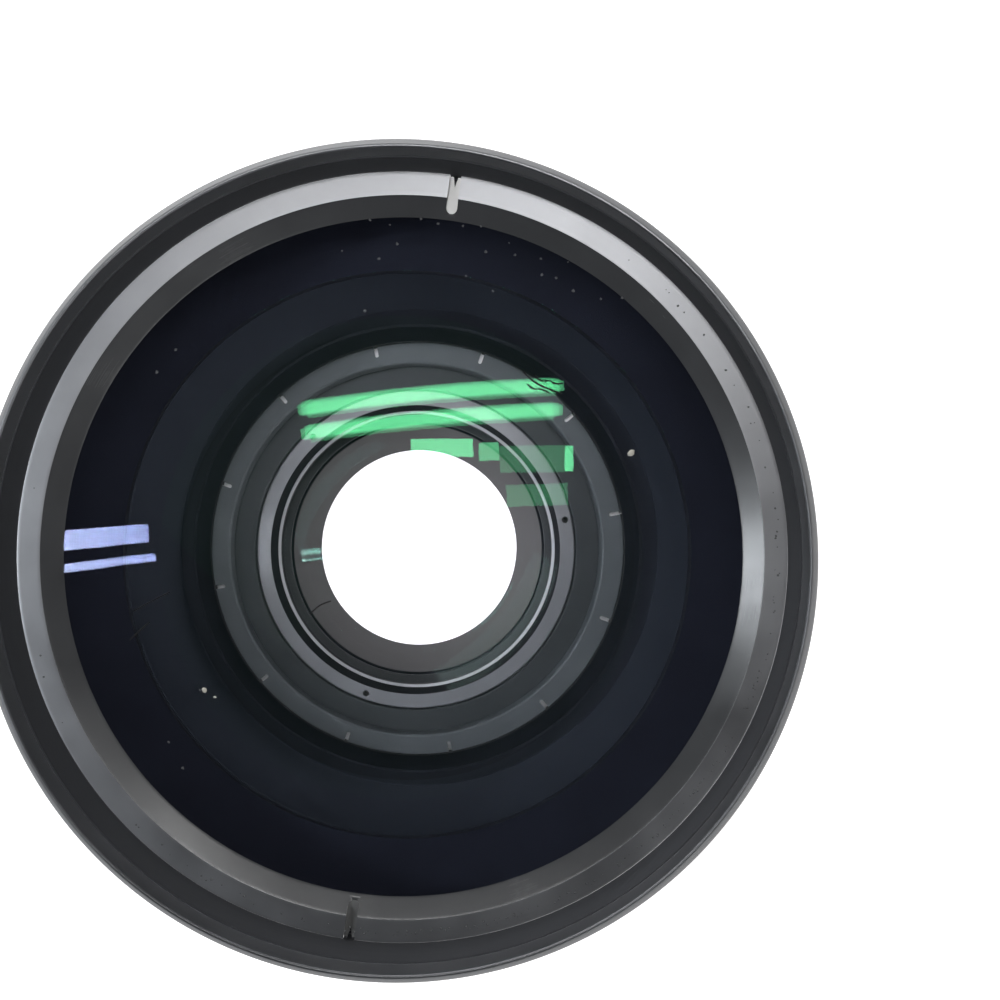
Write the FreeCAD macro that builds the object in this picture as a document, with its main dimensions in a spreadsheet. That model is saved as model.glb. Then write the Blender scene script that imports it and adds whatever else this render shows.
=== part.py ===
import FreeCAD, Part
import math
import os
import Sketcher

# Wide angle converter lens, standing on its rear end: the optical axis is Z, the rear end is at Z = 0
# and the front faces +Z. Every radius is measured from the axis. Millimetres and degrees.

doc = FreeCAD.newDocument("WideAngleConverter")

drivingSizes = {
    # rear mount: male filter thread, flange and conical exit bore
    "threadRadius": 29.0,
    "threadLength": 4.0,
    "threadChamfer": 0.5,
    "flangeThick": 2.4,
    "flangeMargin": 2.3,
    "flangeChamfer": 0.4,
    "coneDraft": 4.75,
    "coneLedge": 0.5,
    # mount screws, on a circle just outside the thread
    "mountScrewOffset": 3.3,
    "mountScrewHead": 1.9,
    "mountScrewShank": 1.0,
    "mountScrewLength": 6.0,
    "mountScrewSink": 0.1,
    "headEdge": 0.15,
    "recessArm": 1.05,
    "recessSlot": 0.42,
    "recessCut": 0.7,
    # rear cell, which carries the cemented pair
    "cellInset": 2.3,
    "cellWall": 2.5,
    "cellFlangeReach": 4.6,
    "cellFlangeThick": 3.0,
    "cellLipHeight": 1.2,
    "cellLipReach": 1.65,
    "cellShoulderDrop": 0.2,
    # cemented pair
    "crownFrontCurve": 85.0,
    "cementCurve": 85.0,
    "flintRearCurve": 423.0,
    "crownRim": 1.480768,
    "flintThick": 2.5,
    # rear gasket and rear retaining ring
    "gasketInset": 0.5,
    "gasketThick": 0.4,
    "rearRingWidth": 2.65,
    "rearRingInset": 0.2,
    "rearRingHeight": 4.25,
    "rearRingLip": 0.5,
    "rearRingChamfer": 0.25,
    "rearRingRecess": 0.60246,
    "pinHoleRadius": 0.55,
    "pinHoleDepth": 1.5,
    "pinHoleInset": 1.25,
    "pinHoleAngle": 11.5,
    # slotted lock ring over the rear cell
    "lockRingMargin": 0.7,
    "lockRingWidth": 3.9,
    "lockRingHeight": 1.8,
    "lockRingChamfer": 0.25,
    "lockSlotLength": 2.2,
    "lockSlotWidth": 0.6,
    "lockSlotDepth": 0.9,
    "lockSlotAngle": 10.5,
    # baffle between the lenses
    "baffleLedge": 0.15,
    "baffleStep": 0.5,
    "baffleInset": 0.4,
    "baffleWall": 1.0,
    "baffleLowStep": 2.2,
    "baffleMidStep": 2.4,
    "baffleHeight": 7.5,
    "baffleGap": 0.2,
    # front element: convex front, deep concave rear, flat ground rim
    "hollowMargin": 1.2,
    "lensRimWidth": 8.3,
    "frontCurve": 170.0,
    "hollowCurve": 52.0,
    "frontLensThick": 3.5,
    "shimThick": 0.4,
    "shimInner": 1.5,
    "shimOuter": 0.4,
    # front gasket and front retaining ring
    "sealWidth": 0.7,
    "frontRingOverlap": 1.8,
    "frontRingBevelWidth": 2.5,
    "frontRingBevel": 1.45,
    "frontRingSkirt": 2.9,
    "frontRingWall": 2.82,
    "frontSlotInset": 0.75,
    "frontSlotWidth": 1.5,
    "frontSlotDepth": 1.0,
    "frontSlotAngle": 82.5,
    # front bezel
    "ringClear": 0.08,
    "bezelThick": 1.5,
    "recessDepth": 9.5,
    "capSeatStep": 0.2,
    "capSeatDepth": 3.5,
    "bezelLip": 0.15,
    "bezelChamfer": 0.9,
    "bezelFoot": 0.4,
    # main barrel
    "spigotStep": 1.0,
    "spigotDrop": 1.05,
    "spigotLength": 5.49885,
    "barrelStep": 1.0,
    "barrelRearMargin": 0.4,
    "barrelRearLength": 5.6,
    "barrelEdge": 0.5,
    # ribbed grip
    "gripGap": 1.42474,
    "gripHeight": 7.6,
    "gripShelf": 1.4,
    "gripGrooveDepth": 1.2,
    "gripProud": 0.6,
    "gripEdge": 0.6,
    "ribGapWidth": 1.3,
    "ribGapDepth": 0.7,
    # grub screws that lock the bezel
    "grubRadius": 1.0,
    "grubLength": 2.6,
    "grubRise": 2.5,
    "grubSlot": 0.36,
    "grubSlotDepth": 0.7,
    # clearances
    "threadClear": 0.05,
    "lensClear": 0.05,
    "seatClear": 0.02,
    "drillClear": 0.1,
}

derivedPlaces = {
    # radii, from the thread outwards and inwards
    "threadEndRadius": "threadRadius - threadChamfer",
    "mountScrewCircle": "threadRadius + mountScrewOffset",
    "flangeRadius": "mountScrewCircle + flangeMargin",
    "flangeRear": "flangeRadius - flangeChamfer",
    "barrelRearRadius": "flangeRadius + barrelRearMargin",
    "barrelRearEdge": "barrelRearRadius - barrelEdge",
    "cellRadius": "mountScrewCircle - cellInset",
    "cellThreadBore": "cellRadius - cellWall",
    "cellFlangeRadius": "cellRadius + cellFlangeReach",
    "rearRingRadius": "cellThreadBore - threadClear",
    "rearRingBore": "rearRingRadius - rearRingWidth",
    "rearRingBoreBreak": "rearRingBore + rearRingChamfer",
    "rearRingEdge": "rearRingRadius - rearRingChamfer",
    "pinHoleCircle": "rearRingRadius - pinHoleInset",
    "rearLensRadius": "rearRingBore + rearRingInset",
    "gasketBore": "rearRingBore - gasketInset",
    "gasketRadius": "rearRingRadius - threadClear",
    "cellLensBore": "rearLensRadius + lensClear",
    "cellLipRadius": "rearLensRadius - cellLipReach",
    "coneTopRadius": "cellLipRadius - coneLedge",
    "exitRadius": "coneTopRadius - coneDraft",
    "lockRingRadius": "cellFlangeRadius + lockRingMargin",
    "lockRingBore": "lockRingRadius - lockRingWidth",
    "lockRingBoreBreak": "lockRingBore + lockRingChamfer",
    "lockRingEdge": "lockRingRadius - lockRingChamfer",
    "lockSlotInner": "lockRingRadius - lockSlotLength",
    "lockSlotOuter": "lockRingRadius + drillClear",
    "frontLensClear": "lockRingRadius + hollowMargin",
    "frontLensRadius": "frontLensClear + lensRimWidth",
    "baffleLowBore": "lockRingRadius + baffleLedge",
    "baffleMidBore": "baffleLowBore + baffleStep",
    "baffleTopBore": "frontLensClear + baffleInset",
    "baffleRadius": "frontLensClear + baffleWall",
    "shimBore": "frontLensClear + shimInner",
    "shimRadius": "frontLensRadius - shimOuter",
    "barrelCellBore": "cellRadius + lensClear",
    "barrelLockBore": "lockRingRadius + threadClear",
    "barrelBaffleBore": "baffleRadius + lensClear",
    "barrelLensBore": "frontLensRadius + 2 * lensClear",
    "sealBore": "frontLensRadius + lensClear",
    "sealRadius": "sealBore + sealWidth",
    "frontRingInside": "sealRadius + threadClear",
    "frontRingRadius": "frontRingInside + frontRingWall",
    "frontRingBore": "frontLensRadius - frontRingOverlap",
    "frontRingFlat": "frontRingBore + frontRingBevelWidth",
    "frontSlotInner": "frontRingBore + frontSlotInset",
    "frontSlotOuter": "frontRingRadius + drillClear",
    "bezelWall": "frontRingRadius + ringClear",
    "capSeatRadius": "bezelWall + capSeatStep",
    "bezelLipEdge": "capSeatRadius + bezelLip",
    "bezelRadius": "bezelWall + bezelThick",
    "bezelLand": "bezelRadius - bezelChamfer",
    "bezelFootRadius": "bezelRadius - bezelFoot",
    "spigotRadius": "bezelWall - spigotStep",
    "bezelSpigotBore": "spigotRadius + threadClear",
    "barrelRadius": "bezelRadius - barrelStep",
    "gripGrooveRadius": "barrelRadius - gripGrooveDepth",
    "gripBore": "gripGrooveRadius + seatClear",
    "gripRadius": "barrelRadius + gripProud",
    "gripEdgeRadius": "gripRadius - gripEdge",
    "ribFloor": "gripRadius - ribGapDepth",
    "ribOuter": "gripRadius + drillClear",
    "ribHalf": "ribGapWidth / 2",
    # heights, from the rear end forwards
    "mountTop": "threadLength + flangeThick",
    "flangeBreak": "threadLength + flangeChamfer",
    "cellSeat": "mountTop + cellLipHeight",
    "flintVertex": "cellSeat + seatClear - flintRearCurve + sqrt(flintRearCurve ^ 2 - cellLipRadius ^ 2)",
    "flintCentre": "flintVertex + flintRearCurve",
    "flintEdge": "flintCentre - sqrt(flintRearCurve ^ 2 - rearLensRadius ^ 2)",
    "cementVertex": "flintVertex + flintThick",
    "cementCentre": "cementVertex + cementCurve",
    "cementEdge": "cementCentre - sqrt(cementCurve ^ 2 - rearLensRadius ^ 2)",
    "crownEdge": "cementEdge + crownRim",
    "crownCentre": "crownEdge - sqrt(crownFrontCurve ^ 2 - rearLensRadius ^ 2)",
    "crownVertex": "crownCentre + crownFrontCurve",
    "cellShoulder": "crownEdge - cellShoulderDrop",
    "gasketBottom": "crownCentre + sqrt(crownFrontCurve ^ 2 - gasketBore ^ 2) + seatClear",
    "gasketTop": "gasketBottom + gasketThick",
    "rearRingLipTop": "gasketTop + rearRingLip",
    "rearRingTop": "gasketTop + rearRingHeight",
    "rearRingBreak": "rearRingTop - rearRingChamfer",
    "pinHoleFloor": "rearRingTop - pinHoleDepth",
    "cellTop": "rearRingTop + rearRingRecess",
    "cellFlangeBottom": "cellTop - cellFlangeThick",
    "lockRingTop": "cellTop + lockRingHeight",
    "lockRingBreak": "lockRingTop - lockRingChamfer",
    "lockSlotFloor": "lockRingTop - lockSlotDepth",
    "baffleLowTop": "lockRingTop + baffleLowStep",
    "baffleMidTop": "baffleLowTop + baffleMidStep",
    "baffleTop": "lockRingTop + baffleHeight",
    "lensShoulder": "baffleTop + baffleGap",
    "shimTop": "lensShoulder + shimThick",
    "lensRim": "shimTop + seatClear",
    "hollowVertex": "lensRim + hollowCurve - sqrt(hollowCurve ^ 2 - frontLensClear ^ 2)",
    "hollowCentre": "hollowVertex - hollowCurve",
    "frontVertex": "hollowVertex + frontLensThick",
    "frontCentre": "frontVertex - frontCurve",
    "frontLensEdge": "frontCentre + sqrt(frontCurve ^ 2 - frontLensRadius ^ 2)",
    "frontRingTouch": "frontCentre + sqrt(frontCurve ^ 2 - frontRingBore ^ 2) + seatClear",
    "frontRingTop": "frontRingTouch + frontRingBevel",
    "frontRingBottom": "frontRingTop - frontRingSkirt",
    "frontSlotFloor": "frontRingTop - frontSlotDepth",
    "spigotTop": "frontLensEdge - spigotDrop",
    "sealTop": "frontRingTouch - seatClear",
    "barrelShoulder": "spigotTop - spigotLength",
    "bezelSpigotTop": "spigotTop - seatClear",
    "bezelFootTop": "barrelShoulder + bezelFoot",
    "bezelTop": "frontRingTop + recessDepth",
    "bezelShoulder": "bezelTop - bezelChamfer",
    "capSeat": "bezelTop - capSeatDepth",
    "bezelLipBottom": "bezelTop - bezelLip",
    "gripTop": "barrelShoulder - gripGap",
    "gripBottom": "gripTop - gripHeight",
    "gripLowBreak": "gripBottom + gripEdge",
    "gripTopBreak": "gripTop - gripEdge",
    "gripGrooveBottom": "gripBottom - seatClear",
    "gripGrooveTop": "gripTop + seatClear",
    "barrelConeTop": "gripBottom - gripShelf",
    "barrelConeStart": "mountTop + barrelRearLength",
    "barrelRearBreak": "mountTop + barrelEdge",
    # fasteners and their holes
    "headSlope": "mountScrewHead - mountScrewShank",
    "headFace": "threadLength + mountScrewSink",
    "screwConeEnd": "headEdge + headSlope",
    "recessHalf": "recessSlot / 2",
    "sinkEdge": "mountScrewCircle + mountScrewHead + threadClear",
    "sinkTop": "headFace + headEdge",
    "sinkBottom": "sinkTop + headSlope",
    "shankBoreEdge": "mountScrewCircle + mountScrewShank + threadClear",
    "shankBoreEnd": "headFace + mountScrewLength + threadClear",
    "drillStart": "threadLength - drillClear",
    "grubZ": "barrelShoulder + grubRise",
    "grubBoreTop": "grubZ + grubRadius + threadClear",
    "grubFaceRadius": "bezelRadius - seatClear",
    "grubPocketFloor": "grubFaceRadius - grubLength - seatClear",
    "grubPocketMouth": "bezelRadius + drillClear",
    "grubSlotHalf": "grubSlot / 2",
    "grubSlotEnd": "grubRadius + drillClear",
}

lockSlotCount = 12
pinHoleCount = 3
frontSlotCount = 2
ribCount = 60
mountScrewCount = 4
grubScrewCount = 3


def fillSheet():
    sheet = doc.addObject("Spreadsheet::Sheet", "Dims")
    cells = [(alias, str(value)) for alias, value in drivingSizes.items()]
    cells += [(alias, "=" + formula) for alias, formula in derivedPlaces.items()]
    for row, (alias, content) in enumerate(cells, start=1):
        sheet.set(f"A{row}", alias)
        sheet.set(f"B{row}", content)
        sheet.setAlias(f"B{row}", alias)
    doc.recompute()
    return sheet


dims = fillSheet()


def sizeOf(word):
    if word == "0":
        return 0.0
    if word.startswith("-"):
        return -float(dims.get(word[1:]))
    return float(dims.get(word))


def formulaOf(word):
    return "-Dims." + word[1:] if word.startswith("-") else "Dims." + word


def originPart(body, role):
    return [part for part in body.Origin.OriginFeatures if part.Role == role][0]


def newBody(label):
    body = doc.addObject("PartDesign::Body", label)
    body.Label = label
    return body


def newSketch(body, name, role, lift=None, turn=None):
    sketch = body.newObject("Sketcher::SketchObject", name)
    sketch.AttachmentSupport = [(originPart(body, role), "")]
    sketch.MapMode = "FlatFace"
    if lift:
        sketch.setExpression("AttachmentOffset.Base.z", formulaOf(lift))
    if turn:
        sketch.setExpression("AttachmentOffset.Rotation.Angle", formulaOf(turn))
    return sketch


def holdPoint(sketch, geometry, point, across, up):
    # ties one end point of a side to the sheet, or to an axis where its distance is nothing
    if across == "0":
        sketch.addConstraint(Sketcher.Constraint("PointOnObject", geometry, point, -2))
    else:
        index = sketch.addConstraint(
            Sketcher.Constraint("DistanceX", -1, 1, geometry, point, sizeOf(across))
        )
        sketch.setExpression(f"Constraints[{index}]", formulaOf(across))
    if up == "0":
        sketch.addConstraint(Sketcher.Constraint("PointOnObject", geometry, point, -1))
    else:
        index = sketch.addConstraint(
            Sketcher.Constraint("DistanceY", -1, 1, geometry, point, sizeOf(up))
        )
        sketch.setExpression(f"Constraints[{index}]", formulaOf(up))


def arcAbout(centre, start, end):
    # the short arc from start to end about centre, and whether it runs anticlockwise
    first = math.atan2(start.y - centre.y, start.x - centre.x)
    last = math.atan2(end.y - centre.y, end.x - centre.x)
    forward = (last - first) % (2 * math.pi) < math.pi
    circle = Part.Circle(centre, FreeCAD.Vector(0, 0, 1), start.distanceToPoint(centre))
    if forward:
        return Part.ArcOfCircle(circle, first, last), True
    return Part.ArcOfCircle(circle, last, first), False


def drawOutline(sketch, corners):
    # corners are (across, up) words; a third word bends the side to the next corner into an arc
    # whose centre lies on the sketch's upright axis at that height
    points = [FreeCAD.Vector(sizeOf(c[0]), sizeOf(c[1]), 0) for c in corners]
    ends = []
    for index, corner in enumerate(corners):
        start = points[index]
        end = points[(index + 1) % len(points)]
        if len(corner) == 3:
            arc, forward = arcAbout(FreeCAD.Vector(0, sizeOf(corner[2]), 0), start, end)
            geometry = sketch.addGeometry(arc, False)
            ends.append((1, 2) if forward else (2, 1))
            sketch.addConstraint(Sketcher.Constraint("PointOnObject", geometry, 3, -2))
        else:
            sketch.addGeometry(Part.LineSegment(start, end), False)
            ends.append((1, 2))
    for index, corner in enumerate(corners):
        after = (index + 1) % len(corners)
        sketch.addConstraint(
            Sketcher.Constraint("Coincident", index, ends[index][1], after, ends[after][0])
        )
        holdPoint(sketch, index, ends[index][0], corner[0], corner[1])


def turned(label, corners):
    body = newBody(label)
    section = newSketch(body, label + "_section", "XZ_Plane")
    drawOutline(section, corners)
    revolution = body.newObject("PartDesign::Revolution", label + "_turned")
    revolution.Profile = section
    revolution.ReferenceAxis = (section, ["V_Axis"])
    revolution.Angle = 360
    doc.recompute()
    return body


def repeatRound(body, feature, count):
    pattern = body.newObject("PartDesign::PolarPattern", feature.Name + "_round")
    pattern.Originals = [feature]
    pattern.Axis = (originPart(body, "Z_Axis"), [""])
    pattern.Angle = 360
    pattern.Occurrences = count
    body.Tip = pattern
    doc.recompute()


def drilled(body, name, corners, count):
    # a hole turned about the first side of its half section, then repeated round the lens
    section = newSketch(body, name + "_section", "XZ_Plane")
    drawOutline(section, corners)
    groove = body.newObject("PartDesign::Groove", name)
    groove.Profile = section
    groove.ReferenceAxis = (section, ["Edge1"])
    groove.Angle = 360
    doc.recompute()
    repeatRound(body, groove, count)


def milledSlots(body, name, inner, outer, width, floor, turn, count):
    # radial slots with a round inner end, open at the outer edge, cut from the floor upwards
    sketch = newSketch(body, name + "_outline", "XY_Plane", floor, turn)
    half = sizeOf(width) / 2
    start = FreeCAD.Vector(sizeOf(inner) + half, -half, 0)
    far = FreeCAD.Vector(sizeOf(outer), -half, 0)
    lowSide = sketch.addGeometry(Part.LineSegment(start, far), False)
    mouth = sketch.addGeometry(
        Part.LineSegment(far, FreeCAD.Vector(far.x, half, 0)), False
    )
    highSide = sketch.addGeometry(
        Part.LineSegment(FreeCAD.Vector(far.x, half, 0), FreeCAD.Vector(start.x, half, 0)), False
    )
    middle = FreeCAD.Vector(start.x, 0, 0)
    circle = Part.Circle(middle, FreeCAD.Vector(0, 0, 1), half)
    nose = sketch.addGeometry(Part.ArcOfCircle(circle, math.pi / 2, 3 * math.pi / 2), False)
    sketch.addConstraint(Sketcher.Constraint("Coincident", lowSide, 2, mouth, 1))
    sketch.addConstraint(Sketcher.Constraint("Coincident", mouth, 2, highSide, 1))
    sketch.addConstraint(Sketcher.Constraint("Tangent", highSide, 2, nose, 1))
    sketch.addConstraint(Sketcher.Constraint("Tangent", nose, 2, lowSide, 1))
    sketch.addConstraint(Sketcher.Constraint("Horizontal", lowSide))
    sketch.addConstraint(Sketcher.Constraint("Vertical", mouth))
    sketch.addConstraint(Sketcher.Constraint("PointOnObject", nose, 3, -1))
    reach = sketch.addConstraint(
        Sketcher.Constraint("DistanceX", -1, 1, nose, 3, start.x)
    )
    sketch.setExpression(f"Constraints[{reach}]", f"{formulaOf(inner)} + {formulaOf(width)} / 2")
    across = sketch.addConstraint(Sketcher.Constraint("Radius", nose, half))
    sketch.setExpression(f"Constraints[{across}]", f"{formulaOf(width)} / 2")
    end = sketch.addConstraint(Sketcher.Constraint("DistanceX", -1, 1, lowSide, 2, far.x))
    sketch.setExpression(f"Constraints[{end}]", formulaOf(outer))
    cutUpwards(body, sketch, name)
    repeatRound(body, body.Tip, count)


def cutUpwards(body, sketch, name, depth=None):
    pocket = body.newObject("PartDesign::Pocket", name)
    pocket.Profile = sketch
    pocket.Reversed = True
    if depth:
        pocket.Type = "Length"
        pocket.setExpression("Length", formulaOf(depth))
    else:
        pocket.Type = "ThroughAll"
    doc.recompute()
    body.Tip = pocket


def buildRearMount():
    body = turned("rear_mount", [
        ("exitRadius", "0"),
        ("threadEndRadius", "0"),
        ("threadRadius", "threadChamfer"),
        ("threadRadius", "threadLength"),
        ("flangeRear", "threadLength"),
        ("flangeRadius", "flangeBreak"),
        ("flangeRadius", "mountTop"),
        ("coneTopRadius", "mountTop"),
    ])
    drilled(body, "mount_screw_sink", [
        ("mountScrewCircle", "drillStart"),
        ("mountScrewCircle", "shankBoreEnd"),
        ("shankBoreEdge", "shankBoreEnd"),
        ("shankBoreEdge", "sinkBottom"),
        ("sinkEdge", "sinkTop"),
        ("sinkEdge", "drillStart"),
    ], mountScrewCount)


def buildRearCell():
    turned("rear_cell", [
        ("cellLipRadius", "mountTop"),
        ("cellRadius", "mountTop"),
        ("cellRadius", "cellFlangeBottom"),
        ("cellFlangeRadius", "cellFlangeBottom"),
        ("cellFlangeRadius", "cellTop"),
        ("cellThreadBore", "cellTop"),
        ("cellThreadBore", "cellShoulder"),
        ("cellLensBore", "cellShoulder"),
        ("cellLensBore", "cellSeat"),
        ("cellLipRadius", "cellSeat"),
    ])


def buildCementedPair():
    turned("rear_flint", [
        ("0", "flintVertex", "flintCentre"),
        ("rearLensRadius", "flintEdge"),
        ("rearLensRadius", "cementEdge", "cementCentre"),
        ("0", "cementVertex"),
    ])
    turned("rear_crown", [
        ("0", "cementVertex", "cementCentre"),
        ("rearLensRadius", "cementEdge"),
        ("rearLensRadius", "crownEdge", "crownCentre"),
        ("0", "crownVertex"),
    ])


def buildRearRings():
    turned("rear_gasket", [
        ("gasketBore", "gasketBottom"),
        ("gasketRadius", "gasketBottom"),
        ("gasketRadius", "gasketTop"),
        ("gasketBore", "gasketTop"),
    ])
    ring = turned("rear_retaining_ring", [
        ("gasketBore", "gasketTop"),
        ("rearRingRadius", "gasketTop"),
        ("rearRingRadius", "rearRingBreak"),
        ("rearRingEdge", "rearRingTop"),
        ("rearRingBoreBreak", "rearRingTop"),
        ("rearRingBore", "rearRingBreak"),
        ("rearRingBore", "rearRingLipTop"),
        ("gasketBore", "rearRingLipTop"),
    ])
    drillPinHoles(ring)
    lockRing = turned("rear_lock_ring", [
        ("lockRingBore", "cellTop"),
        ("lockRingRadius", "cellTop"),
        ("lockRingRadius", "lockRingBreak"),
        ("lockRingEdge", "lockRingTop"),
        ("lockRingBoreBreak", "lockRingTop"),
        ("lockRingBore", "lockRingBreak"),
    ])
    milledSlots(
        lockRing, "lock_slot", "lockSlotInner", "lockSlotOuter", "lockSlotWidth",
        "lockSlotFloor", "lockSlotAngle", lockSlotCount,
    )


def drillPinHoles(ring):
    sketch = newSketch(ring, "pin_hole_outline", "XY_Plane", "pinHoleFloor", "pinHoleAngle")
    middle = FreeCAD.Vector(sizeOf("pinHoleCircle"), 0, 0)
    hole = sketch.addGeometry(
        Part.Circle(middle, FreeCAD.Vector(0, 0, 1), sizeOf("pinHoleRadius")), False
    )
    holdPoint(sketch, hole, 3, "pinHoleCircle", "0")
    across = sketch.addConstraint(Sketcher.Constraint("Radius", hole, sizeOf("pinHoleRadius")))
    sketch.setExpression(f"Constraints[{across}]", formulaOf("pinHoleRadius"))
    cutUpwards(ring, sketch, "pin_hole")
    repeatRound(ring, ring.Tip, pinHoleCount)


def buildBaffle():
    turned("inner_baffle", [
        ("baffleLowBore", "lockRingTop"),
        ("baffleRadius", "lockRingTop"),
        ("baffleRadius", "baffleTop"),
        ("baffleTopBore", "baffleTop"),
        ("baffleMidBore", "baffleMidTop"),
        ("baffleLowBore", "baffleMidTop"),
    ])


def buildMainBarrel():
    body = turned("main_barrel", [
        ("barrelCellBore", "mountTop"),
        ("barrelRearEdge", "mountTop"),
        ("barrelRearRadius", "barrelRearBreak"),
        ("barrelRearRadius", "barrelConeStart"),
        ("barrelRadius", "barrelConeTop"),
        ("barrelRadius", "gripGrooveBottom"),
        ("gripGrooveRadius", "gripGrooveBottom"),
        ("gripGrooveRadius", "gripGrooveTop"),
        ("barrelRadius", "gripGrooveTop"),
        ("barrelRadius", "barrelShoulder"),
        ("spigotRadius", "barrelShoulder"),
        ("spigotRadius", "spigotTop"),
        ("barrelLensBore", "spigotTop"),
        ("barrelLensBore", "lensShoulder"),
        ("barrelBaffleBore", "lensShoulder"),
        ("barrelBaffleBore", "lockRingTop"),
        ("barrelLockBore", "lockRingTop"),
        ("barrelLockBore", "cellFlangeBottom"),
        ("barrelCellBore", "cellFlangeBottom"),
    ])
    drilled(body, "mount_screw_bore", [
        ("mountScrewCircle", "drillStart"),
        ("mountScrewCircle", "shankBoreEnd"),
        ("shankBoreEdge", "shankBoreEnd"),
        ("shankBoreEdge", "drillStart"),
    ], mountScrewCount)
    drillGrubHoles(body, "grub_dimple")


def drillGrubHoles(body, name):
    drilled(body, name, [
        ("grubPocketFloor", "grubZ"),
        ("grubPocketMouth", "grubZ"),
        ("grubPocketMouth", "grubBoreTop"),
        ("grubPocketFloor", "grubBoreTop"),
    ], grubScrewCount)


def buildGrip():
    body = turned("grip_ring", [
        ("gripBore", "gripBottom"),
        ("gripEdgeRadius", "gripBottom"),
        ("gripRadius", "gripLowBreak"),
        ("gripRadius", "gripTopBreak"),
        ("gripEdgeRadius", "gripTop"),
        ("gripBore", "gripTop"),
    ])
    sketch = newSketch(body, "rib_gap_outline", "XY_Plane")
    drawOutline(sketch, [
        ("ribFloor", "-ribHalf"),
        ("ribOuter", "-ribHalf"),
        ("ribOuter", "ribHalf"),
        ("ribFloor", "ribHalf"),
    ])
    cutUpwards(body, sketch, "rib_gap")
    repeatRound(body, body.Tip, ribCount)


def buildFrontLens():
    turned("front_shim", [
        ("shimBore", "lensShoulder"),
        ("shimRadius", "lensShoulder"),
        ("shimRadius", "shimTop"),
        ("shimBore", "shimTop"),
    ])
    turned("front_element", [
        ("frontLensClear", "lensRim"),
        ("frontLensRadius", "lensRim"),
        ("frontLensRadius", "frontLensEdge", "frontCentre"),
        ("0", "frontVertex"),
        ("0", "hollowVertex", "hollowCentre"),
    ])
    turned("front_gasket", [
        ("sealBore", "spigotTop"),
        ("sealRadius", "spigotTop"),
        ("sealRadius", "sealTop"),
        ("sealBore", "sealTop"),
    ])


def buildFrontRing():
    ring = turned("front_retaining_ring", [
        ("frontRingBore", "frontRingTouch"),
        ("frontRingInside", "frontRingTouch"),
        ("frontRingInside", "frontRingBottom"),
        ("frontRingRadius", "frontRingBottom"),
        ("frontRingRadius", "frontRingTop"),
        ("frontRingFlat", "frontRingTop"),
    ])
    milledSlots(
        ring, "spanner_slot", "frontSlotInner", "frontSlotOuter", "frontSlotWidth",
        "frontSlotFloor", "frontSlotAngle", frontSlotCount,
    )


def buildBezel():
    body = turned("front_bezel", [
        ("bezelSpigotBore", "barrelShoulder"),
        ("bezelFootRadius", "barrelShoulder"),
        ("bezelRadius", "bezelFootTop"),
        ("bezelRadius", "bezelShoulder"),
        ("bezelLand", "bezelTop"),
        ("bezelLipEdge", "bezelTop"),
        ("capSeatRadius", "bezelLipBottom"),
        ("capSeatRadius", "capSeat"),
        ("bezelWall", "capSeat"),
        ("bezelWall", "bezelSpigotTop"),
        ("bezelSpigotBore", "bezelSpigotTop"),
    ])
    drillGrubHoles(body, "grub_bore")


def crossRecess(body, name):
    # the two crossed slots of the driver recess, cut into the head from its outer face
    for arm, corners in (
        ("wide", [("-recessArm", "-recessHalf"), ("recessArm", "-recessHalf"),
                  ("recessArm", "recessHalf"), ("-recessArm", "recessHalf")]),
        ("tall", [("-recessHalf", "-recessArm"), ("recessHalf", "-recessArm"),
                  ("recessHalf", "recessArm"), ("-recessHalf", "recessArm")]),
    ):
        sketch = newSketch(body, f"{name}_{arm}_slot", "XY_Plane")
        drawOutline(sketch, corners)
        cutUpwards(body, sketch, f"{name}_{arm}", "recessCut")


def buildMountScrews():
    for number in range(mountScrewCount):
        label = f"mount_screw_{number + 1}"
        body = turned(label, [
            ("0", "0"),
            ("mountScrewHead", "0"),
            ("mountScrewHead", "headEdge"),
            ("mountScrewShank", "screwConeEnd"),
            ("mountScrewShank", "mountScrewLength"),
            ("0", "mountScrewLength"),
        ])
        crossRecess(body, f"recess_{number + 1}")
        angle = 360 * number / mountScrewCount
        body.setExpression("Placement.Base.x", f"Dims.mountScrewCircle * cos({angle})")
        body.setExpression("Placement.Base.y", f"Dims.mountScrewCircle * sin({angle})")
        body.setExpression("Placement.Base.z", "Dims.headFace")


def buildGrubScrews():
    for number in range(grubScrewCount):
        label = f"bezel_grub_{number + 1}"
        body = turned(label, [
            ("0", "0"),
            ("grubRadius", "0"),
            ("grubRadius", "grubLength"),
            ("0", "grubLength"),
        ])
        sketch = newSketch(body, f"driver_slot_{number + 1}", "XY_Plane")
        drawOutline(sketch, [
            ("-grubSlotEnd", "-grubSlotHalf"),
            ("grubSlotEnd", "-grubSlotHalf"),
            ("grubSlotEnd", "grubSlotHalf"),
            ("-grubSlotEnd", "grubSlotHalf"),
        ])
        cutUpwards(body, sketch, f"driver_cut_{number + 1}", "grubSlotDepth")
        angle = 360 * number / grubScrewCount
        radians = math.radians(angle)
        inwards = FreeCAD.Vector(-math.cos(radians), -math.sin(radians), 0)
        turn = FreeCAD.Rotation(FreeCAD.Vector(0, 0, 1), inwards)
        body.Placement = FreeCAD.Placement(FreeCAD.Vector(0, 0, 0), turn)
        body.setExpression("Placement.Base.x", f"Dims.grubFaceRadius * cos({angle})")
        body.setExpression("Placement.Base.y", f"Dims.grubFaceRadius * sin({angle})")
        body.setExpression("Placement.Base.z", "Dims.grubZ")


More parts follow.
